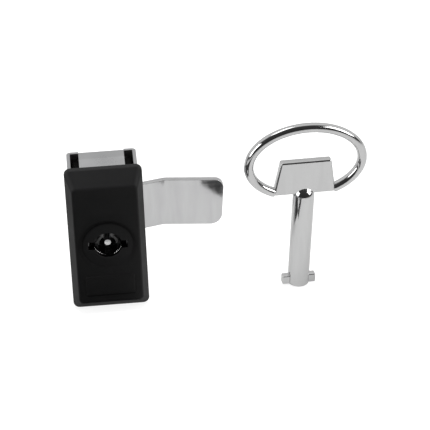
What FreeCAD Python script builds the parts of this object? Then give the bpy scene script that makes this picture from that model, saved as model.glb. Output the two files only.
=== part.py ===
import FreeCAD, Part
import math
import os
from FreeCAD import Vector

# Quarter-turn lock with its double-bit key, in millimetres.
# X runs across the lock towards the cam's side, Y from the front into the cabinet, Z up.
# The origin is where the spindle axis crosses the front of the panel.

# Housing cap, in front of the panel
flange_width = 33.5
flange_height = 70.0
flange_edge = 2.5
flange_corner = 2.8
face_width = 28.0
face_height = 58.0
face_corner = 2.0
corner_flats = 4
cap_depth = 8.65
face_rounding = 0.5

# Housing body, behind the panel
body_width = 26.4
body_height = 57.0
body_depth = 16.7
body_corner = 2.0
body_wall = 2.0
spindle_boss_radius = 12.0
screw_boss_radius = 4.6
web_thickness = 2.4

# Keyhole and the dished ring round it
keyhole_radius = 6.1
keyhole_wing_span = 17.0
keyhole_wing_height = 3.8
keyhole_plate = 1.8
dish_radius = 11.1
dish_shoulder = 1.1
dish_depth = 0.45
dish_lip_depth = 0.12

# Bare label pad low on the face
pad_width = 21.3
pad_height = 10.2
pad_above_edge = 3.4
pad_rise = 0.3

# Rotor: the core that the key turns
core_radius = 9.0
core_running_clearance = 0.06
axial_play = 0.3
core_length = 20.65
neck_radius = 7.0
square_side = 8.0
square_rounding = 0.6
square_clearance = 0.05
socket_radius = 5.9
socket_wing_span = 16.0
socket_wing_height = 4.2
socket_depth = 6.55
quarter_turn = 90.0

# Centre pin, on which the hollow key is guided
pin_radius = 1.5
pin_below_face = 2.6
pin_tail_radius = 1.2
pin_tail_length = 5.0
pin_tip_chamfer = 0.1
pin_clearance = 0.01

# Sealing ring in the core's groove
ring_section = 1.6
ring_sides = 8
ring_position = 10.7
groove_slack = 0.25

# Snap ring that keeps the core in its bore
snap_ring_thickness = 1.0
snap_ring_depth = 0.85
snap_ring_neck_gap = 0.6
snap_groove_slack = 0.1
snap_ring_mouth = 7.0

# Stops of the quarter turn
boss_proud = 0.5
stop_disc_thickness = 1.5
stop_hub_radius = 9.0
stop_gap = 0.3
stop_side_angle = 2.0
stop_lug_angle = 133.4

# Clamp bracket of plated sheet
sheet = 1.5
bracket_side_gap = 0.4
bracket_outer_bend = 2.0
bracket_inner_bend = 0.3
leg_setback = 2.2
tab_width = 19.7
tab_level_length = 6.4
tab_angle = 8.0
tab_gap = 0.86
tab_outer_bend = 1.2
tab_setback = 3.2
boss_hole_gap = 0.3

# Clamp screws and their spring washers
clamp_screw_offset = 22.0
clamp_screw_radius = 2.5
clamp_screw_length = 16.0
clamp_screw_chamfer = 0.35
clamp_head_radius = 4.3
clamp_crown_radius = 2.4
clamp_head_height = 3.0
clamp_hole_gap = 0.25
thread_gap = 0.03
clamp_washer_radius = 4.5
clamp_washer_thickness = 1.2
washer_gap = 0.15
washer_split = 0.9
washer_split_angle = 20.0
cross_width = 1.3
cross_span = 4.6
cross_depth = 1.8

# Cam, cranked away from the panel
cam_thickness = 2.5
cam_width = 23.0
cam_reach = 53.0
cam_corner = 4.0
cam_crank = 6.35
cam_ramp_start = 9.5
cam_ramp_end = 27.0
cam_bend = 5.0
cam_slack_angle = 4.5
square_setback = 0.3

# Cam bolt with a flat and a spring washer
bolt_radius = 3.0
bolt_head_sides = 6
bolt_across_flats = 10.0
bolt_head_height = 4.0
bolt_length = 14.0
bolt_head_chamfer = 0.5
flat_washer_radius = 7.0
flat_washer_thickness = 1.2
spring_washer_radius = 5.4
spring_washer_thickness = 1.6
tapping_depth = 16.0

# Double-bit key
barrel_radius = 4.75
barrel_height = 46.3
barrel_dome = 3.7
barrel_bore_radius = 1.85
barrel_bore_depth = 9.0
bit_span = 15.0
bit_height = 4.0
bit_thickness = 3.3
bit_rounding = 0.5
plate_step = 0.7
plate_height = 16.2
plate_top_width = 22.4
plate_bottom_width = 27.6
plate_thickness = 3.8
plate_rounding = 0.6
bow_bar_radius = 2.09
bow_bar_sides = 16
bow_width = 54.8
bow_rise = 19.4
bow_fall = 18.7
bow_centre_step = 15.1
bow_open_half_angle = 33.0
bow_end_angle = 3.0
bow_end_radius = 1.2
bow_steps = 24
dome_steps = 3

# Where the loose key stands beside the lock
key_across = 83.56
key_back = 4.89
key_floor = -34.8
key_turn_angle = 7.37
key_lean_angle = 3.72
key_tip_angle = 1.45

# Sizes along the spindle that follow from those above
face_y = -cap_depth
plate_back_y = face_y + keyhole_plate
core_front_y = plate_back_y + axial_play
core_back_y = core_front_y + core_length
snap_ring_y = core_back_y + axial_play
bracket_y = body_depth
bracket_back_y = bracket_y + sheet
boss_end_y = bracket_back_y + boss_proud
stop_disc_y = boss_end_y + stop_gap
cam_y = stop_disc_y + stop_disc_thickness
cam_back_y = cam_y + cam_thickness
square_end_y = cam_back_y - square_setback
socket_floor_y = core_front_y + socket_depth
core_bore_radius = core_radius + core_running_clearance

# Heights on the key that follow from those above
plate_bottom = barrel_height + plate_step
plate_top = plate_bottom + plate_height
bow_centre = plate_bottom + bow_centre_step

# Used for every piece: how far a cutter reaches past a face, and the turns
overrun = 1.0
full_turn = 360.0
half_turn = 180.0

X_AXIS = Vector(1, 0, 0)
Y_AXIS = Vector(0, 1, 0)
Z_AXIS = Vector(0, 0, 1)
ORIGIN = Vector(0, 0, 0)


def in_plan(x, y):
    """Point of a profile drawn in the horizontal XY plane."""
    return Vector(x, y, 0)


def in_front(x, z):
    """Point of a profile drawn in the panel's XZ plane."""
    return Vector(x, 0, z)


def in_side(y, z):
    """Point of a profile drawn in the YZ plane."""
    return Vector(0, y, z)


def rounded_wire(corners, radii, to_space):
    """Closed wire through the corners, each one rounded by its own radius."""
    flat = [Vector(u, v, 0) for u, v in corners]
    starts = []
    middles = []
    ends = []
    for index, corner in enumerate(flat):
        back = (flat[index - 1] - corner).normalize()
        ahead = (flat[(index + 1) % len(flat)] - corner).normalize()
        half = back.getAngle(ahead) / 2
        radius = radii[index]
        trim = radius / math.tan(half)
        inward = (back + ahead).normalize()
        starts.append(corner + back * trim)
        ends.append(corner + ahead * trim)
        middles.append(corner + inward * (radius / math.sin(half) - radius))
    edges = []
    for index in range(len(flat)):
        start = to_space(starts[index].x, starts[index].y)
        middle = to_space(middles[index].x, middles[index].y)
        end = to_space(ends[index].x, ends[index].y)
        following = starts[(index + 1) % len(flat)]
        goal = to_space(following.x, following.y)
        if radii[index] > 0:
            edges.append(Part.Arc(start, middle, end).toShape())
        if (goal - end).Length > 1e-6:
            edges.append(Part.LineSegment(end, goal).toShape())
    return Part.Wire(edges)


def rectangle_wire(width, height, corner, y, centre_z=0.0):
    """Rounded rectangle facing the front at depth y."""
    half_w = width / 2
    half_h = height / 2
    corners = [(-half_w, -half_h), (half_w, -half_h), (half_w, half_h), (-half_w, half_h)]
    wire = rounded_wire(corners, [corner] * 4, in_front)
    wire.translate(Vector(0, y, centre_z))
    return wire


def stepped_ring(width, height, corner, y):
    """Points of a rectangle at depth y, its round corners laid out in short flats."""
    points = []
    for quarter, (right, up) in enumerate([(1, 1), (-1, 1), (-1, -1), (1, -1)]):
        centre = Vector(right * (width / 2 - corner), y, up * (height / 2 - corner))
        for step in range(corner_flats + 1):
            angle = math.radians(90 * (quarter + step / corner_flats))
            points.append(centre + Vector(corner * math.cos(angle), 0, corner * math.sin(angle)))
    return points


def flat_face(points):
    """Flat face with straight edges through the points."""
    return Part.Face(Part.makePolygon(points + points[:1]))


def frustum(foot, head):
    """Solid with flat sides between two rings of points that run side by side."""
    faces = [flat_face(foot), flat_face(head)]
    for index in range(len(foot)):
        faces.append(flat_face([foot[index - 1], foot[index], head[index], head[index - 1]]))
    return Part.makeSolid(Part.makeShell(faces))


def prism(wire, direction):
    """Solid swept from a closed flat wire along a straight direction."""
    return Part.Face(wire).extrude(direction)


def rod(radius, y_start, y_end, x=0.0, z=0.0):
    """Cylinder along Y between two depths."""
    return Part.makeCylinder(radius, y_end - y_start, Vector(x, y_start, z), Y_AXIS)


def block(x_size, y_start, y_end, z_size, x=0.0, z=0.0):
    """Box along Y between two depths, centred on x and z."""
    corner = Vector(x - x_size / 2, y_start, z - z_size / 2)
    return Part.makeBox(x_size, y_end - y_start, z_size, corner)


def winged_hole(radius, wing_span, wing_height, y_start, y_end):
    """Keyhole form: a round hole with one wing to each side for the key's bits."""
    return rod(radius, y_start, y_end).fuse(block(wing_span, y_start, y_end, wing_height))


def turned(profile):
    """Solid of revolution about the spindle axis from (radius, depth) points."""
    points = [Vector(radius, y, 0) for radius, y in profile]
    return flat_face(points).revolve(ORIGIN, Y_AXIS, full_turn)


def sector(radius, y_start, y_end, first_angle, last_angle):
    """Pie slice about the spindle, its angles clockwise from +X as seen from the front."""
    reach = radius / math.cos(math.radians((last_angle - first_angle) / 8))
    points = [ORIGIN]
    for step in range(5):
        angle = math.radians(first_angle + (last_angle - first_angle) * step / 4)
        points.append(Vector(reach * math.cos(angle), 0, -reach * math.sin(angle)))
    slice_face = flat_face(points)
    slice_face.translate(Vector(0, y_start, 0))
    wedge = slice_face.extrude(Vector(0, y_end - y_start, 0))
    return wedge.common(rod(radius, y_start, y_end))


def edges_in_plane(shape, y, tolerance=1e-4):
    """Edges of a shape that lie wholly at one depth."""
    found = []
    for edge in shape.Edges:
        box = edge.BoundBox
        if abs(box.YMin - y) < tolerance and abs(box.YMax - y) < tolerance:
            found.append(edge)
    return found


def make_cap():
    """Bevelled cap: an upright edge, then four slopes up to the smaller face."""
    back = stepped_ring(flange_width, flange_height, flange_corner, 0)
    slope_foot = stepped_ring(flange_width, flange_height, flange_corner, -flange_edge)
    slope_head = stepped_ring(face_width, face_height, face_corner, face_y)
    cap = frustum(back, slope_foot).fuse(frustum(slope_foot, slope_head)).removeSplitter()
    return cap.makeFillet(face_rounding, edges_in_plane(cap, face_y))


def make_dish():
    """Cutter for the shallow ring: a soft shoulder down to a crease, then up to the keyhole."""
    above = face_y - overrun
    rim_radius = dish_radius + dish_shoulder
    return turned([
        (0, above),
        (rim_radius, above),
        (rim_radius, face_y),
        (dish_radius, face_y + dish_depth),
        (keyhole_radius, face_y + dish_lip_depth),
        (0, face_y + dish_lip_depth),
    ])


def make_label_pad():
    """Low raised pad, left bare."""
    centre_z = -face_height / 2 + pad_above_edge + pad_height / 2
    wire = rectangle_wire(pad_width, pad_height, face_rounding, face_y, centre_z)
    return prism(wire, Vector(0, -pad_rise, 0))


def make_pockets():
    """Cored-out corners of the casting, each beside a screw boss."""
    inner_width = body_width - 2 * body_wall
    inner_height = body_height - 2 * body_wall
    hollow = block(inner_width, plate_back_y, body_depth, inner_height)
    hollow = hollow.cut(rod(spindle_boss_radius, plate_back_y, body_depth))
    hollow = hollow.cut(block(web_thickness, plate_back_y, body_depth, inner_height))
    for side in (-1, 1):
        boss = rod(screw_boss_radius, plate_back_y, body_depth, 0, side * clamp_screw_offset)
        hollow = hollow.cut(boss)
    return hollow


def make_housing():
    """Die-cast housing: cap, ribbed body, spindle boss with its stop lug, and the keyhole."""
    body_wire = rectangle_wire(body_width, body_height, body_corner, 0)
    housing = make_cap().fuse(prism(body_wire, Vector(0, body_depth, 0)))
    housing = housing.cut(make_dish()).fuse(make_label_pad())
    housing = housing.cut(make_pockets())
    housing = housing.fuse(rod(spindle_boss_radius, body_depth - overrun, boss_end_y))
    lug_end_y = cam_y - stop_gap
    lug_centre = half_turn - quarter_turn / 2
    first = lug_centre - stop_lug_angle / 2
    last = lug_centre + stop_lug_angle / 2
    lug = sector(spindle_boss_radius, boss_end_y - overrun, lug_end_y, first, last)
    housing = housing.fuse(lug.cut(rod(stop_hub_radius + stop_gap, boss_end_y, lug_end_y)))
    housing = housing.cut(rod(core_bore_radius, plate_back_y, boss_end_y))
    housing = housing.cut(winged_hole(keyhole_radius, keyhole_wing_span,
                                      keyhole_wing_height, face_y - overrun, plate_back_y))
    groove_end_y = snap_ring_y + snap_ring_thickness + snap_groove_slack
    housing = housing.cut(rod(core_bore_radius + snap_ring_depth, snap_ring_y, groove_end_y))
    hole_end_y = body_depth - clamp_screw_length
    for side in (-1, 1):
        hole = rod(clamp_screw_radius + thread_gap, hole_end_y, body_depth,
                   0, side * clamp_screw_offset)
        housing = housing.cut(hole)
    return housing.removeSplitter()


def make_snap_ring():
    """Open ring sprung into the bore's groove behind the core."""
    end_y = snap_ring_y + snap_ring_thickness
    start_y = snap_ring_y + snap_groove_slack
    outer = core_bore_radius + snap_ring_depth
    inner = neck_radius + snap_ring_neck_gap
    ring = rod(outer, start_y, end_y + snap_groove_slack)
    ring = ring.cut(rod(inner, start_y, end_y + snap_groove_slack))
    mouth = block(outer, start_y, end_y + snap_groove_slack, snap_ring_mouth, -outer)
    return ring.cut(mouth)


def make_bracket():
    """Clamp bracket: a channel over the body with a bent tab at its top and bottom."""
    inner = body_width / 2 + bracket_side_gap
    outer = inner + sheet
    tab_drop = (bracket_back_y - tab_level_length - tab_setback) * math.tan(math.radians(tab_angle))
    half_height = body_height / 2 + tab_gap + tab_drop + sheet
    corners = [
        (-outer, leg_setback), (-outer, bracket_back_y),
        (outer, bracket_back_y), (outer, leg_setback),
        (inner, leg_setback), (inner, bracket_y),
        (-inner, bracket_y), (-inner, leg_setback),
    ]
    radii = [0, bracket_outer_bend, bracket_outer_bend, 0,
             0, bracket_inner_bend, bracket_inner_bend, 0]
    channel_wire = rounded_wire(corners, radii, in_plan)
    channel_wire.translate(Vector(0, 0, -half_height))
    bracket = prism(channel_wire, Vector(0, 0, 2 * half_height))
    bend_y = bracket_back_y - tab_level_length
    tab_corners = [
        (bracket_back_y, half_height), (bracket_back_y, half_height - 2 * sheet),
        (bracket_y, half_height - 2 * sheet), (bracket_y, half_height - sheet),
        (bend_y, half_height - sheet), (tab_setback, half_height - sheet - tab_drop),
        (tab_setback, half_height - tab_drop), (bend_y, half_height),
    ]
    tab_radii = [tab_outer_bend, 0, 0, bracket_inner_bend, sheet, 0, 0, sheet]
    tab = prism(rounded_wire(tab_corners, tab_radii, in_side), Vector(tab_width, 0, 0))
    tab.translate(Vector(-tab_width / 2, 0, 0))
    corner_strip = block(tab_width, bracket_y - overrun, bracket_back_y + overrun, sheet,
                         0, half_height - sheet / 2)
    for turn in (0, half_turn):
        strip = corner_strip.copy()
        strip.rotate(ORIGIN, Y_AXIS, turn)
        bent = tab.copy()
        bent.rotate(ORIGIN, Y_AXIS, turn)
        bracket = bracket.cut(strip).fuse(bent)
    bracket = bracket.cut(rod(spindle_boss_radius + boss_hole_gap, bracket_y, bracket_back_y))
    for side in (-1, 1):
        hole = rod(clamp_screw_radius + clamp_hole_gap, bracket_y, bracket_back_y,
                   0, side * clamp_screw_offset)
        bracket = bracket.cut(hole)
    return bracket.removeSplitter()


def make_split_washer(outer, inner, y_start, thickness):
    """Spring washer cut through on one side."""
    washer = rod(outer, y_start, y_start + thickness).cut(rod(inner, y_start, y_start + thickness))
    slit = block(washer_split, y_start, y_start + thickness, outer, 0, outer / 2 + inner / 2)
    slit.rotate(ORIGIN, Y_AXIS, washer_split_angle)
    return washer.cut(slit)


def make_clamp_screw():
    """Pan-head screw with a cross recess, its shank running forward into the body."""
    seat_y = bracket_back_y + clamp_washer_thickness
    top_y = seat_y + clamp_head_height
    shank_end_y = seat_y - clamp_screw_length
    screw = turned([
        (0, shank_end_y), (clamp_screw_radius - clamp_screw_chamfer, shank_end_y),
        (clamp_screw_radius, shank_end_y + clamp_screw_chamfer), (clamp_screw_radius, seat_y),
        (clamp_head_radius, seat_y), (clamp_head_radius, top_y - clamp_head_height / 2),
        (clamp_crown_radius, top_y), (0, top_y),
    ])
    for turn in (0, 90):
        bar = block(cross_span, top_y - cross_depth, top_y, cross_width)
        bar.rotate(ORIGIN, Y_AXIS, turn)
        screw = screw.cut(bar)
    return screw


def pair_of(piece):
    """The same piece at the upper and the lower screw position."""
    upper = piece.copy()
    upper.translate(Vector(0, 0, clamp_screw_offset))
    lower = piece.copy()
    lower.translate(Vector(0, 0, -clamp_screw_offset))
    return Part.makeCompound([upper, lower])


def make_core():
    """Core with the key socket in front, a seal groove, a neck and the square for the cam."""
    core = rod(core_radius, core_front_y, core_back_y)
    core = core.fuse(rod(neck_radius, core_back_y, stop_disc_y))
    half = square_side / 2
    corners = [(-half, -half), (half, -half), (half, half), (-half, half)]
    square_wire = rounded_wire(corners, [square_rounding] * 4, in_front)
    square_wire.translate(Vector(0, core_back_y, 0))
    core = core.fuse(prism(square_wire, Vector(0, square_end_y - core_back_y, 0)))
    core = core.cut(winged_hole(socket_radius, socket_wing_span, socket_wing_height,
                                core_front_y, socket_floor_y))
    core = core.cut(rod(pin_tail_radius + pin_clearance, socket_floor_y,
                        socket_floor_y + pin_tail_length))
    groove_start_y = core_front_y + ring_position
    groove_end_y = groove_start_y + ring_section + groove_slack
    groove = rod(core_radius + overrun, groove_start_y, groove_end_y)
    core = core.cut(groove.cut(rod(core_radius - ring_section, groove_start_y, groove_end_y)))
    core = core.cut(rod(bolt_radius + thread_gap, square_end_y - tapping_depth, square_end_y))
    return core.removeSplitter()


def make_centre_pin():
    """Steel pin in the middle of the socket, its thinner tail set into the core."""
    tip_y = face_y + pin_below_face
    tail_end_y = socket_floor_y + pin_tail_length
    return turned([
        (0, tip_y), (pin_radius - pin_tip_chamfer, tip_y), (pin_radius, tip_y + pin_tip_chamfer),
        (pin_radius, socket_floor_y), (pin_tail_radius, socket_floor_y),
        (pin_tail_radius, tail_end_y), (0, tail_end_y),
    ])


def make_seal_ring():
    """Rubber ring of near-round section lying in the core's groove."""
    centre_y = core_front_y + ring_position + (ring_section + groove_slack) / 2
    half = ring_section / 2
    middle = core_radius - half
    profile = []
    for step in range(ring_sides):
        angle = math.radians(full_turn * (step + 0.5) / ring_sides)
        corner = half / math.cos(math.pi / ring_sides)
        profile.append((middle + corner * math.cos(angle), centre_y + corner * math.sin(angle)))
    return turned(profile)


def square_hole(y_start, y_end, slack_turn):
    """Cutter for a square hole that lets its piece turn a little on the core's square."""
    slack = math.radians(slack_turn)
    side = square_side * (math.cos(slack) + math.sin(slack)) + 2 * square_clearance
    half = side / 2
    corners = [(-half, -half), (half, -half), (half, half), (-half, half)]
    wire = rounded_wire(corners, [square_rounding / 2] * 4, in_front)
    wire.translate(Vector(0, y_start, 0))
    return prism(wire, Vector(0, y_end - y_start, 0))


def make_stop_disc():
    """Stamped disc whose wide ear runs between the two ends of the housing's lug."""
    ear_span = full_turn - quarter_turn - 2 * stop_side_angle - stop_lug_angle
    disc = rod(stop_hub_radius, stop_disc_y, cam_y)
    ear = sector(spindle_boss_radius, stop_disc_y, cam_y, -ear_span / 2, ear_span / 2)
    return disc.fuse(ear).cut(square_hole(stop_disc_y, cam_y, 0)).removeSplitter()


def make_cam():
    """Flat cam arm cranked back by its joggle, sagging by the slack of its square hole."""
    half_width = cam_width / 2
    flat_y = cam_y + cam_crank
    slope = math.atan2(cam_crank, cam_ramp_end - cam_ramp_start)
    shift = cam_thickness * math.tan(slope / 2)
    side_corners = [
        (-half_width, cam_y), (cam_ramp_start, cam_y),
        (cam_ramp_end, flat_y), (cam_reach, flat_y),
        (cam_reach, flat_y + cam_thickness), (cam_ramp_end - shift, flat_y + cam_thickness),
        (cam_ramp_start - shift, cam_back_y), (-half_width, cam_back_y),
    ]
    outer_bend = cam_bend + cam_thickness
    side_radii = [0, outer_bend, cam_bend, 0, 0, outer_bend, cam_bend, 0]
    side_wire = rounded_wire(side_corners, side_radii, in_plan)
    side_wire.translate(Vector(0, 0, -half_width))
    strip = prism(side_wire, Vector(0, 0, cam_width))
    front_corners = [
        (-half_width, -half_width), (cam_reach, -half_width),
        (cam_reach, half_width), (-half_width, half_width),
    ]
    root_rounding = half_width - overrun / 100
    front_radii = [root_rounding, cam_corner, cam_corner, root_rounding]
    front_wire = rounded_wire(front_corners, front_radii, in_front)
    front_wire.translate(Vector(0, cam_y - overrun, 0))
    outline = prism(front_wire, Vector(0, cam_crank + cam_thickness + 2 * overrun, 0))
    hole = square_hole(cam_y, cam_back_y, cam_slack_angle)
    cam = strip.common(outline).cut(hole).removeSplitter()
    cam.rotate(ORIGIN, Y_AXIS, cam_slack_angle)
    return cam


def make_flat_washer():
    """Flat washer between the cam and the spring washer."""
    end_y = cam_back_y + flat_washer_thickness
    hole = rod(bolt_radius + washer_gap, cam_back_y, end_y)
    return rod(flat_washer_radius, cam_back_y, end_y).cut(hole)


def make_cam_bolt():
    """Hexagon-head bolt that holds the cam on the square."""
    seat_y = cam_back_y + flat_washer_thickness + spring_washer_thickness
    top_y = seat_y + bolt_head_height
    corner_radius = bolt_across_flats / 2 / math.cos(math.pi / bolt_head_sides)
    corners = []
    for step in range(bolt_head_sides):
        angle = math.radians(full_turn * step / bolt_head_sides)
        corners.append(Vector(corner_radius * math.cos(angle), seat_y, corner_radius * math.sin(angle)))
    head = prism(Part.makePolygon(corners + corners[:1]), Vector(0, bolt_head_height, 0))
    crown = turned([
        (0, seat_y), (corner_radius, seat_y), (corner_radius, top_y - bolt_head_chamfer),
        (corner_radius - 2 * bolt_head_chamfer, top_y), (0, top_y),
    ])
    return head.common(crown).fuse(rod(bolt_radius, seat_y - bolt_length, seat_y))


def bow_ring(angle, radius):
    """Near-round section of the bow at one angle of its oval, counted from the right-hand side."""
    turn = math.radians(angle)
    across = bow_width / 2 - bow_bar_radius
    up = (bow_rise if math.sin(turn) > 0 else bow_fall) - bow_bar_radius
    centre = Vector(across * math.cos(turn), 0, bow_centre + up * math.sin(turn))
    outward = Vector(up * math.cos(turn), 0, across * math.sin(turn)).normalize()
    points = []
    for side in range(bow_bar_sides):
        spin = math.radians(full_turn * side / bow_bar_sides)
        points.append(centre + outward * radius * math.cos(spin) + Y_AXIS * radius * math.sin(spin))
    return Part.makePolygon(points + points[:1])


def make_bow():
    """Oval finger bow: a near-round bar led round an oval that stays open at the plate."""
    first = -90 + bow_open_half_angle
    span = full_turn - 2 * bow_open_half_angle
    rings = [bow_ring(first - bow_end_angle, bow_end_radius)]
    for step in range(bow_steps + 1):
        rings.append(bow_ring(first + span * step / bow_steps, bow_bar_radius))
    rings.append(bow_ring(first + span + bow_end_angle, bow_end_radius))
    return Part.makeLoft(rings, True, True)


def make_barrel():
    """Round barrel standing on its bit end, with a ball-shaped dome on top."""
    ball_radius = (barrel_radius ** 2 + barrel_dome ** 2) / (2 * barrel_dome)
    foot_angle = math.asin(barrel_radius / ball_radius)
    ball_centre = barrel_height + barrel_dome - ball_radius
    profile = [(0, 0), (barrel_radius, 0), (barrel_radius, barrel_height)]
    for step in range(1, dome_steps):
        angle = foot_angle * (1 - step / dome_steps)
        profile.append((ball_radius * math.sin(angle), ball_centre + ball_radius * math.cos(angle)))
    profile.append((0, barrel_height + barrel_dome))
    points = [Vector(radius, 0, height) for radius, height in profile]
    return flat_face(points).revolve(ORIGIN, Z_AXIS, full_turn)


def make_key():
    """One-piece cast key: hollow barrel, two bits, web plate and finger bow."""
    bits = Part.makeBox(bit_span, bit_thickness, bit_height,
                        Vector(-bit_span / 2, -bit_thickness / 2, 0))
    upright = [edge for edge in bits.Edges if abs(edge.tangentAt(edge.FirstParameter).z) > 0.9]
    bits = bits.makeFillet(bit_rounding, upright)
    low = plate_bottom_width / 2
    high = plate_top_width / 2
    plate_corners = [(-low, plate_bottom), (low, plate_bottom), (high, plate_top), (-high, plate_top)]
    plate_wire = rounded_wire(plate_corners, [plate_rounding] * 4, in_front)
    plate_wire.translate(Vector(0, -plate_thickness / 2, 0))
    plate = prism(plate_wire, Vector(0, plate_thickness, 0))
    key = make_barrel().fuse([bits, plate, make_bow()]).removeSplitter()
    key = key.cut(Part.makeCylinder(barrel_bore_radius, barrel_bore_depth))
    key.rotate(ORIGIN, X_AXIS, key_tip_angle)
    key.rotate(ORIGIN, Y_AXIS, key_lean_angle)
    key.rotate(ORIGIN, Z_AXIS, key_turn_angle)
    key.translate(Vector(key_across, key_back, key_floor))
    return key


clamp_washer = make_split_washer(clamp_washer_radius, clamp_screw_radius + washer_gap,
                                 bracket_back_y, clamp_washer_thickness)
cam_spring_washer = make_split_washer(spring_washer_radius, bolt_radius + washer_gap,
                                      cam_back_y + flat_washer_thickness, spring_washer_thickness)

pieces = {
    "front_housing": make_housing(),
    "core_snap_ring": make_snap_ring(),
    "clamp_bracket": make_bracket(),
    "clamp_washers": pair_of(clamp_washer),
    "clamp_screws": pair_of(make_clamp_screw()),
    "double_bit_key": make_key(),
    "lock_core": make_core(),
    "centre_pin": make_centre_pin(),
    "core_seal_ring": make_seal_ring(),
    "stop_disc": make_stop_disc(),
    "cam": make_cam(),
    "cam_washer": make_flat_washer(),
    "cam_spring_washer": cam_spring_washer,
    "cam_bolt": make_cam_bolt(),
}

os.makedirs("parts", exist_ok=True)
for name, shape in pieces.items():
    shape.exportStep("parts/" + name + ".step")
    print(name, "solids", len(shape.Solids), "valid", shape.isValid(), "volume", round(shape.Volume, 1))
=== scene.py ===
# %% [markdown]
# # A quarter-turn lock and its key
# This lesson dresses a finished construction model for a picture. The lock has a black
# bevelled cap, a plated bracket behind it and a cranked cam that the key turns through a
# quarter turn. The model already holds every solid in its right place. Here each one gets
# the small roundings, the coat or the plating that the real piece shows.

# %% Load the construction model
import math
import bmesh
import bpy
import numpy as np
from mathutils import Matrix, Vector


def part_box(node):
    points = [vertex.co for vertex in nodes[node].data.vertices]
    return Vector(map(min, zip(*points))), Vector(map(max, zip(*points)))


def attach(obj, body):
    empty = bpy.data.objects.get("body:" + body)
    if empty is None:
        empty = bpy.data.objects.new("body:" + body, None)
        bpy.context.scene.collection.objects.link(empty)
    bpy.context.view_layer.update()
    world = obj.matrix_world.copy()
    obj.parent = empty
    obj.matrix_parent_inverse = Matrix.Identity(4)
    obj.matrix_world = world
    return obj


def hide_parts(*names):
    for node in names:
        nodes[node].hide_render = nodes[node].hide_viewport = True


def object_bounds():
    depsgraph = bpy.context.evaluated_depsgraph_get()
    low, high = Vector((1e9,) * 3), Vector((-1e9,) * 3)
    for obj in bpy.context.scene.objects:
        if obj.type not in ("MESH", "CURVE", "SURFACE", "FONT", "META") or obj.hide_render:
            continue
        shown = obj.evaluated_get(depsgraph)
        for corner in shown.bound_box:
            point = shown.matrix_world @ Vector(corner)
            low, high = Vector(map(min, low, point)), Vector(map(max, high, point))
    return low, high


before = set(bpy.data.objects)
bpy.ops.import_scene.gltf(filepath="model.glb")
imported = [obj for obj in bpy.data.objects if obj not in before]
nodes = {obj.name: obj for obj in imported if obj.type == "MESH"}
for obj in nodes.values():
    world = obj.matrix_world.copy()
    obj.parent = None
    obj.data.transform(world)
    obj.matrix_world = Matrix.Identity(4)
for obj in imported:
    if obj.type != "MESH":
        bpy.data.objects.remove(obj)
cad_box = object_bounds()
print("nodes:", sorted(nodes))

# %% [markdown]
# ## From loops of points to a mesh
# Most pieces here are a stack of closed loops: an outline that moves inwards, up or along a
# path from one loop to the next. If all loops have the same number of points, the faces
# between them follow from the numbering alone, so whole arrays can do the work. The last
# step measures the signed volume, and turns the faces round if they point inwards.

# %% Faces between loops
def band_faces(count, size, wrap=False):
    """Quads between loop k and loop k + 1, for points numbered k * size + n."""
    index = np.arange(count * size).reshape(count, size)
    low = index if wrap else index[:-1]
    high = np.roll(index, -1, 0) if wrap else index[1:]
    quads = np.stack([low, np.roll(low, -1, 1), np.roll(high, -1, 1), high], -1)
    return quads.reshape(-1, 4)


def fan_faces(first, size, pole, turned=False):
    """Triangles from the loop that starts at number first to one pole point."""
    ring = first + np.arange(size)
    after = np.roll(ring, -1)
    poles = np.full(size, pole)
    return np.stack([after, ring, poles] if turned else [ring, after, poles], -1)


def zip_faces(first, size, start, turned=False):
    """Quads across a loop: point start + i is joined to its partner start - 1 - i."""
    step = np.arange(size // 2 - 1)
    near, near_next = start + step, start + step + 1
    far, far_next = start - 1 - step, start - 2 - step
    order = [near, far, far_next, near_next] if turned else [near, near_next, far_next, far]
    return first + np.stack(order, -1) % size


def capped_tube(loops, first_pole, last_pole):
    """Points and faces of a stack of loops whose two ends close in a pole each."""
    count, size = loops.shape[:2]
    points = np.concatenate([loops.reshape(-1, 3), [first_pole, last_pole]])
    return points, [band_faces(count, size), fan_faces(0, size, count * size, True),
                    fan_faces((count - 1) * size, size, count * size + 1)]


def signed_volume(points, face_sets):
    """Sum of a . (b x c) / 6 over all triangles; a closed skin that faces outwards gives plus."""
    total = 0.0
    for faces in face_sets:
        a, b, c = (points[faces[:, k]] for k in range(3))
        total += np.einsum("ij,ij->i", a, np.cross(b, c)).sum()
        if faces.shape[1] == 4:
            d = points[faces[:, 3]]
            total += np.einsum("ij,ij->i", a, np.cross(c, d)).sum()
    return total / 6


# %% [markdown]
# ## Adding a piece
# Sizes are worked out in millimetres, because drawings of locks are. Blender wants metres, so the
# points are divided by a thousand here, once. Each piece rides on a body of the model, hides the
# node that it stands for, and wears the finish named by its slot.

# %% Mesh objects from points
crisp_turn = math.radians(40)


def new_object(name, data):
    """Object with this data, linked to the scene."""
    made = bpy.data.objects.new(name, data)
    bpy.context.scene.collection.objects.link(made)
    return made


def link_piece(name, mesh, body, material, stands_for):
    """Object at the world's origin that moves with a body and wears one material."""
    piece = new_object(name, mesh)
    mesh.materials.clear()
    mesh.materials.append(material)
    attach(piece, body)
    if stands_for:
        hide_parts(*stands_for)
    return piece


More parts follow.
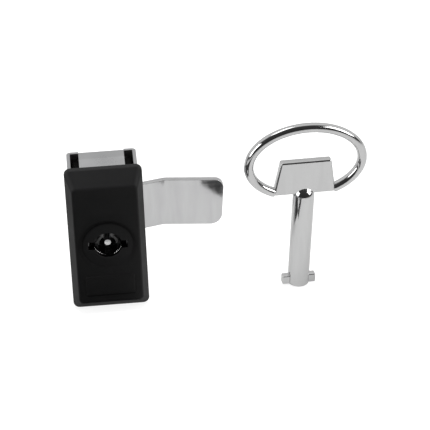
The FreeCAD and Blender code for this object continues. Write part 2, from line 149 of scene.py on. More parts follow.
def add_piece(name, points, face_sets, body, slot, stands_for=()):
    """Closed skin through the points, smooth except where it turns by more than crisp_turn.

    It wears the finish that has the name of its slot.
    """
    if signed_volume(points, face_sets) < 0:
        face_sets = [faces[:, ::-1] for faces in face_sets]
    faces = [face for group in face_sets for face in group.tolist()]
    mesh = bpy.data.meshes.new(name)
    mesh.from_pydata((points / 1000).tolist(), [], faces)
    mesh.update()
    mesh.shade_smooth()
    mesh.set_sharp_from_angle(angle=crisp_turn)
    piece = link_piece(name, mesh, body, finishes[slot], stands_for)
    print(name, len(points), "points", len(faces), "faces",
          round(abs(signed_volume(points, face_sets)), 1), "mm3")
    return piece


# %% [markdown]
# ## Outlines with round corners
# A plate, a pad and a cam are all an outline with round corners. Moving the outline
# inwards, while its corner radii shrink by as much, gives the next loop of the face. Near
# the rim the loops also drop along a quarter circle, and that is the soft edge on which
# the light catches.

# %% Rounded outlines and plates
def rounded_outline(corners, radii, inset=0.0, arc_points=9, side_points=12):
    """Outline of a convex polygon (anticlockwise), moved inwards by inset.

    A corner moves along its bisector by inset / sin(half its angle), and the centre of its
    arc lies radius / sin(half angle) further in. Straight runs join the arcs.
    """
    least_radius = 0.03
    corners = np.asarray(corners, float)
    radii = np.maximum(np.asarray(radii, float) - inset, least_radius)
    back = np.roll(corners, 1, 0) - corners
    ahead = np.roll(corners, -1, 0) - corners
    back /= np.linalg.norm(back, axis=1)[:, None]
    ahead /= np.linalg.norm(ahead, axis=1)[:, None]
    half = np.arccos(np.clip((back * ahead).sum(1), -1, 1)) / 2
    inward = (back + ahead) / np.linalg.norm(back + ahead, axis=1)[:, None]
    centres = corners + inward * ((inset + radii) / np.sin(half))[:, None]
    start = np.arctan2(back[:, 0], -back[:, 1])
    sweep = np.mod(np.arctan2(-ahead[:, 0], ahead[:, 1]) - start, 2 * np.pi)
    angle = start[:, None] + sweep[:, None] * np.linspace(0, 1, arc_points)
    arcs = centres[:, None] + radii[:, None, None] * np.stack([np.cos(angle), np.sin(angle)], -1)
    share = (np.arange(side_points) + 1)[:, None] / (side_points + 1)
    sides = arcs[:, -1, None] * (1 - share) + np.roll(arcs[:, 0], -1, 0)[:, None] * share
    return np.concatenate([arcs, sides], 1).reshape(-1, 2)


def plate_skin(corners, radii, thickness, edge, arc_points=9, side_points=12, inner=1.0):
    """Plate with soft edges: (u, v, off) points and faces, off running through the plate.

    Loops go from the front face over the rim to the rear face. On the rim, inset is
    edge * (1 - sin a) and off is half the thickness less edge * (1 - cos a). Two loops on
    each face, one of them held close to the rim, keep the face flat where the edge starts.
    """
    hold = 0.06
    turn = np.linspace(0, np.pi / 2, 6)
    inset = np.concatenate([[edge + inner, edge + hold], edge * (1 - np.sin(turn))])
    off = np.concatenate([[0, 0], edge * (1 - np.cos(turn))]) - thickness / 2
    inset = np.concatenate([inset, inset[::-1]])
    off = np.concatenate([off, -off[::-1]])
    outlines = [rounded_outline(corners, radii, i, arc_points, side_points) for i in inset]
    loops = [np.column_stack([flat, np.full(len(flat), o)]) for flat, o in zip(outlines, off)]
    size = len(loops[0])
    start = size - side_points // 2
    last = (len(loops) - 1) * size
    faces = [band_faces(len(loops), size), zip_faces(0, size, start, True),
             zip_faces(last, size, start)]
    return np.concatenate(loops), faces


def upright(flat, y=0.0):
    """Stands (u, v, off) points of a plate up: x = u, y + off, z = v."""
    return np.column_stack([flat[:, 0], y + flat[:, 2], flat[:, 1]])


def box_corners(width, height, x=0.0, z=0.0):
    """Four corners, anticlockwise, of a rectangle about (x, z)."""
    return [(x + s * width / 2, z + t * height / 2)
            for s, t in ((-1, -1), (1, -1), (1, 1), (-1, 1))]


print("outline test", rounded_outline(box_corners(4, 2), [0.5] * 4).shape)

# %% [markdown]
# ## Effects that several finishes share
# Real surfaces are never quite even. Two node groups carry that: one makes a fine grain
# and a slow cloud from noise, the other makes thin scratches from noise that is stretched
# along one direction. They put out only masks and heights. Each material decides how
# strongly it uses them.

# %% Nodes with input values
def set_inputs(node, **values):
    """Sets inputs of a shader node by name; an underscore in a name stands for a blank."""
    for label, value in values.items():
        node.inputs[label.replace("_", " ")].default_value = value


def new_node(tree, kind, **values):
    """Shader node of this kind, with these input values."""
    node = tree.nodes.new("ShaderNode" + kind)
    set_inputs(node, **values)
    return node


# %% Grain and scratch groups
def new_group(name, inputs, outputs):
    """Empty shader node group with float inputs (name, value) and float outputs."""
    group = bpy.data.node_groups.new(name, "ShaderNodeTree")
    group.interface.new_socket("Vector", in_out="INPUT", socket_type="NodeSocketVector")
    for label, value in inputs:
        socket = group.interface.new_socket(label, in_out="INPUT", socket_type="NodeSocketFloat")
        socket.default_value = value
    for label in outputs:
        group.interface.new_socket(label, in_out="OUTPUT", socket_type="NodeSocketFloat")
    return group, group.nodes.new("NodeGroupInput"), group.nodes.new("NodeGroupOutput")


def make_grain_group():
    """Grain is a fine noise, Cloud is a coarse one, both about 0.5."""
    group, source, sink = new_group("surface_grain", [("Grain Scale", 2500.0),
                                                      ("Cloud Scale", 60.0)], ["Grain", "Cloud"])
    for label, scale, detail in (("Grain", "Grain Scale", 2.0), ("Cloud", "Cloud Scale", 3.0)):
        noise = new_node(group, "TexNoise", Detail=detail)
        group.links.new(source.outputs["Vector"], noise.inputs["Vector"])
        group.links.new(source.outputs[scale], noise.inputs["Scale"])
        group.links.new(noise.outputs["Fac"], sink.inputs[label])
    return group


def make_scratch_group():
    """Scratches are where a noise, drawn out along one direction, passes a threshold."""
    group, source, sink = new_group("hair_scratches", [("Scale", 900.0), ("Threshold", 0.62)],
                                    ["Scratch"])
    drawn = new_node(group, "Mapping", Rotation=(0.0, 0.5, 0.3), Scale=(0.06, 1.0, 1.0))
    noise = new_node(group, "TexNoise", Detail=1.0)
    ramp = new_node(group, "MapRange", From_Max=0.75)
    group.links.new(source.outputs["Vector"], drawn.inputs["Vector"])
    group.links.new(drawn.outputs["Vector"], noise.inputs["Vector"])
    group.links.new(source.outputs["Scale"], noise.inputs["Scale"])
    group.links.new(noise.outputs["Fac"], ramp.inputs["Value"])
    group.links.new(source.outputs["Threshold"], ramp.inputs["From Min"])
    group.links.new(ramp.outputs["Result"], sink.inputs["Scratch"])
    return group


surface_grain = make_grain_group()
hair_scratches = make_scratch_group()
print("groups:", surface_grain.name, hair_scratches.name)

# %% [markdown]
# ## Finishes
# Coat, plating, steel and rubber differ in a few numbers only: two tones that the cloud
# mixes, how metallic and how rough they are, and how deep the grain and scratches go. One
# function lays out the nodes for all, and each finish states its own numbers. Values that
# are the same all over sit on the shader itself.

# %% Materials and their nodes
def new_material(name, **values):
    """Material with nodes, its tree and its Principled shader, which has these input values."""
    material = bpy.data.materials.new(name)
    material.use_nodes = True
    shader = material.node_tree.nodes["Principled BSDF"]
    set_inputs(shader, **values)
    return material, material.node_tree, shader


def add_maths(tree, operation, *values):
    """Maths node whose inputs are numbers or other nodes' outputs; gives its own output."""
    node = new_node(tree, "Math")
    node.operation = operation
    for socket, value in zip(node.inputs, values):
        if isinstance(value, float):
            socket.default_value = value
        else:
            tree.links.new(value, socket)
    return node.outputs["Value"]


def set_ramp(node, stops):
    """Colour ramp of (position, tone) stops; a tone is one grey, or red, green and blue."""
    elements = node.color_ramp.elements
    while len(elements) < len(stops):
        elements.new(0.5)
    for element, (position, tone) in zip(elements, stops):
        element.position = position
        element.color = (*np.broadcast_to(tone, 3), 1.0)


# %% Finish builder
finishes = {}


def make_finish(name, tones, metallic, roughness, spread, grain, scratch, level=0.5,
                grain_scale=2500.0, cloud_scale=60.0, bump=0.00002, stretch=(1.0, 1.0, 1.0)):
    """Principled material: colour from cloud, roughness from cloud and scratches, bump from grain.

    Roughness is the cloud, mapped to roughness -+ spread, + scratch * scratches. A stretch
    below 1 along an axis draws the cloud out into streaks along it.
    """
    cloud_low, cloud_high = 0.3, 0.7
    material, tree, shader = new_material(name, Metallic=metallic, Specular_IOR_Level=level)
    link = tree.links.new
    place = new_node(tree, "TexCoord")
    texture = new_node(tree, "Group")
    texture.node_tree = surface_grain
    set_inputs(texture, Grain_Scale=grain_scale, Cloud_Scale=cloud_scale)
    marks = new_node(tree, "Group")
    marks.node_tree = hair_scratches
    drawn = new_node(tree, "Mapping", Scale=stretch)
    link(place.outputs["Object"], drawn.inputs["Vector"])
    link(drawn.outputs["Vector"], texture.inputs["Vector"])
    link(place.outputs["Object"], marks.inputs["Vector"])

    tone = new_node(tree, "ValToRGB")
    set_ramp(tone, list(zip((cloud_low, cloud_high), tones)))
    link(texture.outputs["Cloud"], tone.inputs["Fac"])
    link(tone.outputs["Color"], shader.inputs["Base Color"])

    rough = new_node(tree, "MapRange", From_Min=cloud_low, From_Max=cloud_high,
                     To_Min=roughness - spread, To_Max=roughness + spread)
    link(texture.outputs["Cloud"], rough.inputs["Value"])
    link(add_maths(tree, "MULTIPLY_ADD", marks.outputs["Scratch"], scratch,
                   rough.outputs["Result"]), shader.inputs["Roughness"])

    relief = new_node(tree, "Bump", Distance=bump)
    link(add_maths(tree, "MULTIPLY", texture.outputs["Grain"], grain), relief.inputs["Height"])
    link(relief.outputs["Normal"], shader.inputs["Normal"])
    finishes[name] = material


# %% The finishes of this lock
drawn_upright = (1.0, 1.0, 0.15)
# Name, two tones, metallic, roughness, its spread, depth of the grain, of the scratches.
make_finish("black_coat", ((0.0082, 0.0082, 0.0085), (0.0102, 0.0102, 0.0105)), 0.0,
            0.55, 0.05, 1.0, 0.05, level=0.26, grain_scale=2600.0)
# A near-black copy of the coat with almost no shine: painted shade for the keyhole's wall.
make_finish("bore_shade_coat", (0.0008, 0.0015), 0.0, 0.8, 0.05, 1.0, 0.0, level=0.03,
            grain_scale=2600.0)
# A darker, duller copy of the black coat for the casting behind the panel: painted shade for what
# shows through the bracket's gaps.
make_finish("shaded_body_coat", (0.002, 0.004), 0.0, 0.6, 0.08, 1.0, 0.1, level=0.06,
            grain_scale=1400.0, bump=0.00004)
make_finish("zinc_sheet", ((0.5, 0.505, 0.51), (0.58, 0.585, 0.59)), 1.0,
            0.3, 0.06, 0.6, 0.12, grain_scale=3000.0, bump=0.00001)
make_finish("zinc_hardware", ((0.6, 0.605, 0.62), (0.72, 0.725, 0.73)), 1.0,
            0.26, 0.07, 0.6, 0.15, grain_scale=2000.0, bump=0.00001)
make_finish("cam_chrome", ((0.65, 0.65, 0.655), (0.72, 0.72, 0.725)), 1.0,
            0.12, 0.04, 0.5, 0.04, grain_scale=900.0, cloud_scale=260.0, bump=0.000006,
            stretch=drawn_upright)
make_finish("key_chrome", (0.68, 0.74), 1.0, 0.09, 0.025, 0.5, 0.08, grain_scale=1200.0,
            cloud_scale=260.0, bump=0.000004, stretch=drawn_upright)
make_finish("core_metal", ((0.08, 0.08, 0.081), (0.12, 0.12, 0.121)), 1.0,
            0.13, 0.03, 0.8, 0.1, grain_scale=1500.0, bump=0.00001)
make_finish("pin_steel", (0.82, 0.88), 1.0, 0.2, 0.04, 0.5, 0.1, bump=0.000004)
make_finish("spring_steel", ((0.16, 0.16, 0.165), (0.28, 0.28, 0.285)), 1.0,
            0.32, 0.08, 0.7, 0.15)
make_finish("seal_rubber", (0.015, 0.03), 0.0, 0.7, 0.08, 1.0, 0.0, level=0.3,
            grain_scale=1600.0)
print("finishes:", sorted(finishes))

# %% [markdown]
# ## Painted highlights in the socket
# The core is dark metal. Its front edge is painted bright on both sides where the highlights fall,
# and a pale matt ring is painted on the socket's floor where a crescent of light shows. No new
# faces are needed for that: the place of a point says which part of the core it is on. The masks
# compare its coordinates with the depth of the edge and with the radii of the ring.

# %% Mix a tone into a finish
def add_mix(tree, factor, first, second):
    """Mix node of two colours, each a grey value or another node's output."""
    node = new_node(tree, "Mix")
    node.data_type = "RGBA"
    tree.links.new(factor, node.inputs["Factor"])
    for label, value in (("A", first), ("B", second)):
        if isinstance(value, float):
            node.inputs[label].default_value = (value, value, value, 1)
        else:
            tree.links.new(value, node.inputs[label])
    return node.outputs["Result"]


def mix_in_tone(material, mask, tone):
    """Base colour = (1 - mask) * the colour so far + mask * grey of this tone."""
    tree = material.node_tree
    colour = tree.nodes["Principled BSDF"].inputs["Base Color"]
    tree.links.new(add_mix(tree, mask, colour.links[0].from_socket, tone), colour)


# %% Painted highlights on the core's edge and floor
def paint_core_highlights(material, highlight_tone, ring_light_tone):
    """Painted highlights: bright metal on the socket's front edge, and a pale matt grey ring on its
    floor.

    Edge is where y is less than edge_y and the spindle is nearer than edge_reach, except where
    abs(x - unlit_x) < unlit_half. The ring is where y is near zero and the distance from (0,
    ring_z) is between its two radii, all in metres. metallic = 1 - ring, so that the painted ring
    is lit from all sides and mirrors nothing.
    """
    edge_y, edge_reach, unlit_x, unlit_half = -0.0061, 0.0064, 0.0006, 0.0018
    floor_depth, ring_z, ring_inner, ring_outer = 0.0003, -0.0044, 0.0037, 0.0047
    tree = material.node_tree
    split = new_node(tree, "SeparateXYZ")
    tree.links.new(tree.nodes["Texture Coordinate"].outputs["Object"], split.inputs["Vector"])
    x, y, z = (split.outputs[axis] for axis in "XYZ")

    def maths(operation, *values):
        return add_maths(tree, operation, *values)

    def squared_distance(up):
        return maths("ADD", maths("MULTIPLY", x, x), maths("MULTIPLY", up, up))

    # Painted highlight: a bright metal tone on the core's front edge, left out in a strip about
    # unlit_x.
    edge = maths("MULTIPLY", maths("LESS_THAN", y, edge_y),
                 maths("LESS_THAN", squared_distance(z), edge_reach ** 2))
    beside = maths("ABSOLUTE", maths("SUBTRACT", x, unlit_x))
    edge = maths("MULTIPLY", edge, maths("GREATER_THAN", beside, unlit_half))
    # Painted light: a pale matt ring on the socket's floor stands in for the crescent of light
    # there.
    near = maths("LESS_THAN", maths("ABSOLUTE", y), floor_depth)
    from_centre = squared_distance(maths("SUBTRACT", z, ring_z))
    between = maths("MULTIPLY", maths("GREATER_THAN", from_centre, ring_inner ** 2),
                    maths("LESS_THAN", from_centre, ring_outer ** 2))
    ring = maths("MULTIPLY", near, between)
    tree.links.new(maths("SUBTRACT", 1.0, ring), tree.nodes["Principled BSDF"].inputs["Metallic"])
    mix_in_tone(material, edge, highlight_tone)
    mix_in_tone(material, ring, ring_light_tone)


paint_core_highlights(finishes["core_metal"], highlight_tone=0.85, ring_light_tone=0.5)
print("core_metal nodes:", len(finishes["core_metal"].node_tree.nodes))

# %% [markdown]
# ## Painted shade in creases
# Where a recess meets the flat face, hardly any light gets in, and that shade is painted into the
# coat. How much painted shade a point gets is a number that the mesh stores, and the coat reads it.
# A mesh attribute was chosen because it follows the shape exactly and fades by itself.

# %% Painted shade in the coat's creases
def paint_crease_shade(material):
    """Painted shade: nearly no colour and no shine where the attribute called crease is high.

    The painted shade also makes the surface metallic, and a metal as dark as this mirrors nothing.
    """
    painted_shade_tone = 0.0003
    tree = material.node_tree
    crease = new_node(tree, "Attribute")
    crease.attribute_name = "crease"
    tree.links.new(crease.outputs["Fac"], tree.nodes["Principled BSDF"].inputs["Metallic"])
    mix_in_tone(material, crease.outputs["Fac"], painted_shade_tone)


paint_crease_shade(finishes["black_coat"])
print("black_coat nodes:", len(finishes["black_coat"].node_tree.nodes))

# %% [markdown]
# ## The cap
# The cap is a zinc casting: an upright rim, four slopes, a flat face with a shallow dished
# ring, and a keyhole with a wing to each side. Cutting a hole in a box would leave edges
# that are too sharp and a mesh that shades badly. So the cap is one stack of loops instead,
# from the keyhole's wall over the dish, the face and the slopes to the rim and back through
# the bore. All rectangles are a smaller rectangle grown by a radius, so the same set of
# unit points serves them all.

# %% Sizes of the cap, in millimetres
face_y = -8.65
plate_back_y = -6.85
rim_y = -2.5
keyhole_radius, wing_reach, wing_half_height = 6.1, 8.5, 1.9
dish_radius, dish_shoulder, dish_depth, dish_lip = 11.1, 1.9, 0.5, 0.12
bore_radius = 9.06
face_half, face_corner = (14.0, 29.0), 2.0
flange_half, flange_corner = (16.75, 35.0), 2.8
lip_edge, face_edge, foot_edge, heel_edge = 0.35, 0.75, 0.5, 0.3
hold, heel_hold, back_hold, dish_hold, flat_hold = 0.08, 0.05, 0.1, 0.25, 0.05
shoulder_power = 2.4


# %% Unit points round the cap
def unit_ring():
    """Points on the edge of a unit square, with the outward direction at each.

    Extra points on the two long sides lie in line with the keyhole's wings. The second half
    of the ring is minus the first.
    """
    long_points, short_points, turn_points, wing_points = 61, 31, 9, 7
    quarter = np.pi / 2
    steep = np.linspace(math.atan2(wing_half_height, wing_reach),
                        math.asin(wing_half_height / keyhole_radius), wing_points)
    wing = face_half[0] * np.tan(steep) / (face_half[1] - face_corner)
    long_side = np.sort(np.concatenate([np.linspace(-1, 1, long_points), wing, -wing]))
    short_side = np.linspace(1, -1, short_points)
    turn = np.linspace(0, quarter, turn_points)[1:-1]
    ones_long, ones_short, ones_turn = (np.ones(len(a)) for a in (long_side, short_side, turn))
    s = np.concatenate([ones_long, ones_turn, short_side, -ones_turn])
    t = np.concatenate([long_side, ones_turn, ones_short, ones_turn])
    angle = np.concatenate([0 * ones_long, turn, quarter * ones_short, quarter + turn])
    return [np.concatenate([half, -half]) for half in (s, t, np.cos(angle), np.sin(angle))]


unit_s, unit_t, unit_nx, unit_nz = unit_ring()


def rectangle_loop(half, corner, y, grow=0.0):
    """Rounded rectangle at depth y: (half - corner) times the unit square, plus corner outwards."""
    x = (half[0] - corner) * unit_s + (corner + grow) * unit_nx
    z = (half[1] - corner) * unit_t + (corner + grow) * unit_nz
    return np.column_stack([x, np.full(len(x), y), z])


bearing = np.arctan2(*rectangle_loop(face_half, face_corner, 0.0).T[[2, 0]])


def polar_loop(radius, y):
    """Loop at distance radius from the spindle; radius and y may differ for each bearing."""
    return np.column_stack([radius * np.cos(bearing), y + 0 * bearing, radius * np.sin(bearing)])


def keyhole_reach():
    """Keyhole outline: the larger of the round hole and the box of its two wings."""
    across = wing_reach / np.maximum(np.abs(np.cos(bearing)), 1e-6)
    upward = wing_half_height / np.maximum(np.abs(np.sin(bearing)), 1e-6)
    return np.maximum(keyhole_radius, np.minimum(across, upward))


print("points round the cap:", len(unit_s))

# %% [markdown]
# ## Soft corners by a bent line
# Where two flat parts meet, the casting has a small radius and the coat fills it further. A
# line from one part to the other that bends towards the sharp corner, a quadratic Bezier
# curve, gives that for whole loops at once.

# %% The cap's loops
def bend_between(first, corner, last, count=5):
    """Loops on the curve (1-t)^2 first + 2t(1-t) corner + t^2 last."""
    return [(1 - t) ** 2 * first + 2 * t * (1 - t) * corner + t ** 2 * last
            for t in np.linspace(0, 1, count)]


def dish_y(radius):
    """Depth of the dished ring, which falls evenly from the keyhole's lip to the crease."""
    share = (radius - keyhole_radius) / (dish_radius - keyhole_radius)
    return face_y + dish_lip + (dish_depth - dish_lip) * np.clip(share, 0, 1)


def cap_loops():
    """All loops of the cap, from the keyhole's wall outwards, round the rim and back.

    The shoulder of the dish rises to the face by (1 - share) to a power, so it starts steep
    and ends flat. Next to each bend a loop is held on the flat part.
    """
    def face(grow=0.0):
        return rectangle_loop(face_half, face_corner, face_y, grow)

    def flange(y, grow=0.0):
        return rectangle_loop(flange_half, flange_corner, y, grow)

    hole = keyhole_reach()
    lip = hole + lip_edge
    loops = [polar_loop(hole, plate_back_y)]
    loops += bend_between(polar_loop(hole, dish_y(hole) + lip_edge),
                          polar_loop(hole, dish_y(hole)), polar_loop(lip, dish_y(lip)))
    for share in np.linspace(0.15, 1, 6):
        radius = lip * (1 - share) + (dish_radius - dish_hold) * share
        loops.append(polar_loop(radius, dish_y(radius)))
    for share in np.linspace(0, 1, 9):
        radius = dish_radius + dish_shoulder * share
        loops.append(polar_loop(radius, face_y + dish_depth * (1 - share) ** shoulder_power))
    flat_start = polar_loop(dish_radius + dish_shoulder + flat_hold, face_y)
    flat_end = face(-face_edge - hold)
    loops += [flat_start * (1 - share) + flat_end * share for share in (0.3, 0.65, 1.0)]
    brink, foot = face(), flange(rim_y)
    slope = foot - brink
    downhill = slope / np.linalg.norm(slope, axis=1)[:, None]
    loops += bend_between(face(-face_edge), brink, brink + downhill * face_edge, 7)
    loops += [brink + downhill * (face_edge + hold), brink + slope * 0.5,
              foot - downhill * (foot_edge + hold)]
    loops += bend_between(foot - downhill * foot_edge, foot, flange(rim_y + foot_edge), 6)
    loops.append(flange(-heel_edge - heel_hold))
    loops += bend_between(flange(-heel_edge), flange(0.0), flange(0.0, -heel_edge))
    loops.append(flange(0.0, -heel_edge - back_hold))
    bore_front = polar_loop(bore_radius, 0.0)
    loops += [loops[-1] * 0.5 + bore_front * 0.5, bore_front,
              polar_loop(bore_radius, plate_back_y)]
    return np.array(loops)


# %% Build the cap
cap = cap_loops()
bevelled_cap = add_piece("bevelled_cap", cap.reshape(-1, 3),
                         [band_faces(len(cap), cap.shape[1], wrap=True)],
                         "body", "black_coat", ["front_housing"])

# %% [markdown]
# ## Painted shade round the dish and in the keyhole
# The shade painted into the crease round the dish is darkest at its upper left, where the wall
# turns away from the light, and it fades over two millimetres of the face. The keyhole's wall lies
# in shade all round, and a second, darker material on the first band of faces paints that shade in.

# %% Painted shade in the crease and on the keyhole's wall
def write_painted_shade(piece, values):
    """Stores the painted shade at each point, from 0 to 1, in the attribute called crease."""
    marks = piece.data.attributes.new("crease", "FLOAT", "POINT")
    marks.data.foreach_set("value", values.ravel().astype(np.float32))


# Painted shade in the crease round the dish: darkest towards dark_bearing, fading out over the
# face.
crease_shade_depth, dark_bearing = 0.8, math.radians(125)
fade_outside, fade_inside = 2.3, 0.4
beyond = np.hypot(cap[:, :, 0], cap[:, :, 2]) - dish_radius
lean = 0.5 + 0.5 * np.cos(np.arctan2(cap[:, :, 2], cap[:, :, 0]) - dark_bearing)
fade = np.where(beyond > 0, np.clip(1 - beyond / fade_outside, 0, 1),
                np.clip(1 + beyond / fade_inside, 0, 1))
crease = crease_shade_depth * lean * fade * (cap[:, :, 1] < plate_back_y)
write_painted_shade(bevelled_cap, crease)
# The keyhole's wall wears the near-black copy of the coat, which paints its shade.
bevelled_cap.data.materials.append(finishes["bore_shade_coat"])
wall_faces = np.arange(len(bevelled_cap.data.polygons)) < cap.shape[1]
bevelled_cap.data.polygons.foreach_set("material_index", wall_faces.astype(np.int32))
print("points in the crease:", int((crease > 0).sum()), "wall faces:", int(wall_faces.sum()))

# %% [markdown]
# ## The pad on the cap
# Low on the face is a raised pad with a plain top. It is a thin plate with soft edges whose rear
# half is sunk in the face. The dark line under its lower edge is painted shadow: a thin strip of
# the same coat with painted shade in its crease attribute, strongest next to the pad.

# %% Build the pad
pad_width, pad_height, pad_corner, pad_z, pad_edge = 21.3, 9.6, 0.9, -20.2, 0.28
line_width, line_height, line_corner, line_z, line_edge = 20.9, 1.3, 0.3, -25.2, 0.04
line_shade, line_end, line_fade = 0.45, -25.9, 0.5
pad_thickness, line_thickness = 0.6, 0.1
flat, faces = plate_skin(box_corners(pad_width, pad_height, 0.0, pad_z), [pad_corner] * 4,
                         pad_thickness, pad_edge)
add_piece("bare_pad", upright(flat, face_y), faces, "body", "black_coat")
# Painted shadow: a thin dark strip under the pad, darkened through the crease attribute.
flat, faces = plate_skin(box_corners(line_width, line_height, 0.0, line_z), [line_corner] * 4,
                         line_thickness, line_edge, inner=0.2)
pad_shadow_strip = add_piece("pad_shadow_strip", upright(flat, face_y), faces, "body", "black_coat")
write_painted_shade(pad_shadow_strip, line_shade * np.clip((flat[:, 1] - line_end) / line_fade, 0, 1))

# %% [markdown]
# ## The casting behind the panel
# Bosses, ribs and pockets lie behind the cap, and the construction model already has them
# right. A copy of its mesh is merged, cut off at the panel's plane where the new cap takes
# over, and closed there. The node itself is never changed.

# %% Merge and soften a copy of a node
same_place = 2e-6
flat_turn, sharp_turn, round_turn = (math.radians(v) for v in (0.5, 28, 40))


def merged_copy(node):
    """Bmesh of a node, with its loose triangles joined where their corners meet."""
    shape = bmesh.new()
    shape.from_mesh(nodes[node].data)
    bmesh.ops.remove_doubles(shape, verts=shape.verts, dist=same_place)
    return shape


def copy_to_piece(shape, name, body, material, stands_for, edge=0.0):
    """Piece of a bmesh, whose flat parts become one face each; normals of the node are dropped.

    Edges that turn by more than round_turn get a round of edge millimetres.
    """
    bmesh.ops.dissolve_limit(shape, angle_limit=flat_turn, verts=shape.verts, edges=shape.edges)
    mesh = bpy.data.meshes.new(name)
    shape.to_mesh(mesh)
    shape.free()
    if "custom_normal" in mesh.attributes:
        mesh.attributes.remove(mesh.attributes["custom_normal"])
    mesh.shade_smooth()
    mesh.set_sharp_from_angle(angle=sharp_turn)
    piece = link_piece(name, mesh, body, material, stands_for)
    if edge:
        bevel = piece.modifiers.new("soft_edge", "BEVEL")
        bevel.width = edge / 1000
        bevel.segments = 2
        bevel.limit_method = "ANGLE"
        bevel.angle_limit = round_turn
        bevel.harden_normals = True
    print(name, len(mesh.polygons), "faces, edges softened by", edge, "mm")


# %% Build the casting behind the panel
panel_plane = (0, 1e-5, 0)
shape = merged_copy("front_housing")
cut = bmesh.ops.bisect_plane(shape, geom=shape.verts[:] + shape.edges[:] + shape.faces[:],
                             dist=1e-7, plane_co=panel_plane, plane_no=(0, 1, 0),
                             clear_inner=True)
rim = [edge for edge in cut["geom_cut"] if isinstance(edge, bmesh.types.BMEdge)]
bmesh.ops.triangle_fill(shape, use_beauty=True, edges=rim, normal=(0, -1, 0))
bmesh.ops.recalc_face_normals(shape, faces=shape.faces)
# The copy wears the darker copy of the coat, which paints the shade in the bracket's gaps.
copy_to_piece(shape, "cored_body", "body", finishes["shaded_body_coat"],
              ["front_housing"])

# %% [markdown]
# ## Small hardware
# Screws, washers, the bolt, the stop disc, the bracket, the core and its pin keep the shape
# of the model. Only their edges are too sharp to look real, because every turned or stamped
# edge has a tiny round that draws a bright line. A Bevel modifier on a merged copy adds it.

# %% Build the hardware
hardware = [
    ("clamp_screws", "body", "zinc_hardware", 0.12),
    ("clamp_washers", "body", "zinc_hardware", 0.1),
    ("core_snap_ring", "body", "spring_steel", 0.08),
    ("stop_disc", "rotor", "zinc_hardware", 0.12),
    ("cam_washer", "rotor", "zinc_hardware", 0.12),
    ("cam_spring_washer", "rotor", "zinc_hardware", 0.1),
    ("cam_bolt", "rotor", "zinc_hardware", 0.15),
    ("lock_core", "rotor", "core_metal", 0.35),
    ("centre_pin", "rotor", "pin_steel", 0.05),
    ("clamp_bracket", "body", "zinc_sheet", 0.15),
]
for node, body, slot, edge in hardware:
    copy_to_piece(merged_copy(node), "soft_" + node, body, finishes[slot], [node], edge)

# %% [markdown]
# ## The sealing ring
# A rubber ring has a round section, and the model holds it as eight flats. A circle carried
# round the spindle is a torus: both its numberings close on themselves, so it needs no
# poles at all.

# %% Build the sealing ring
def torus_loops(radius, section, y, around=96, about=20):
    """Points (R + r cos b) in direction a and y + r sin b, for all angles a and b."""
    a = np.linspace(0, 2 * np.pi, around, endpoint=False)[:, None]
    b = np.linspace(0, 2 * np.pi, about, endpoint=False)[None]
    reach = radius + section * np.cos(b)
    return np.stack([reach * np.cos(a), y + section * np.sin(b) + 0 * a, reach * np.sin(a)], -1)


ring_radius, ring_section = 8.2, 0.8
low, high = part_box("core_seal_ring")
ring = torus_loops(ring_radius, ring_section, (low.y + high.y) / 2 * 1000)
add_piece("round_seal_ring", ring.reshape(-1, 3), [band_faces(*ring.shape[:2], wrap=True)],
          "rotor", "seal_rubber", ["core_seal_ring"])

# %% [markdown]
# ## The cam
# The cam is a strip of plated steel that is bent twice, so its free end reaches behind the
# cabinet's frame. It starts as a flat plate with soft edges, measured along the strip. Then
# every point is moved onto the bent centre line: the direction of the line changes evenly
# inside each bend, and adding up small steps in that direction gives the line itself.

# %% The bent centre line
cam_front_y, cam_thickness, cam_width, cam_reach = 20.5, 2.5, 23.0, 53.0
cam_crank, ramp_start, ramp_end, bend_radius = 6.35, 9.5, 27.0, 5.0
root_corner, low_corner, high_corner, cam_edge = 11.45, 5.2, 4.0, 0.12
cam_sag = math.radians(4.5)


def crank_line():
    """Arc length, x and y of the centre line, with its direction angle, in fine steps.

    The line is straight, turns by the ramp's angle over one bend, runs straight and turns
    back. Its x and y are the running sums of cos and sin of the direction.
    """
    run_end, run_points = 80.0, 6000
    slope = math.atan2(cam_crank, ramp_end - ramp_start)
    middle = bend_radius + cam_thickness / 2
    trim = middle * math.tan(slope / 2)
    shift = cam_thickness / 2 * math.tan(slope / 2)
    first = ramp_start - shift - trim
    ramp = (ramp_end - ramp_start) / math.cos(slope) - 2 * trim
    length = np.linspace(-cam_width, run_end, run_points)
    share_in = np.clip((length - first) / (middle * slope), 0, 1)
    share_out = np.clip((length - first - middle * slope - ramp) / (middle * slope), 0, 1)
    heading = slope * (share_in - share_out)
    step = np.diff(length, prepend=length[0])
    x = length[0] + np.cumsum(np.cos(heading) * step)
    y = cam_front_y + cam_thickness / 2 + np.cumsum(np.sin(heading) * step)
    return length, x, y, heading


def onto_crank(points):
    """Moves (along, up, off) points of the strip onto the bent line, then turns by the sag."""
    length, x, y, heading = crank_line()
    s, z, off = points.T
    angle = np.interp(s, length, heading)
    px = np.interp(s, length, x) - off * np.sin(angle)
    py = np.interp(s, length, y) + off * np.cos(angle)
    c, d = math.cos(cam_sag), math.sin(cam_sag)
    return np.column_stack([c * px + d * z, py, c * z - d * px])


# %% Build the cam
length, line_x, line_y, _ = crank_line()
strip_end = float(np.interp(cam_reach, line_x, length))
half = cam_width / 2
flat, faces = plate_skin([(-half, -half), (strip_end, -half), (strip_end, half), (-half, half)],
                         [root_corner, low_corner, high_corner, root_corner], cam_thickness,
                         cam_edge, arc_points=25, side_points=150, inner=0.8)
add_piece("cranked_cam", onto_crank(flat), faces, "rotor", "cam_chrome", ["cam"])
print("strip length", round(strip_end, 2), "free end's middle", round(float(line_y[-1]), 2))

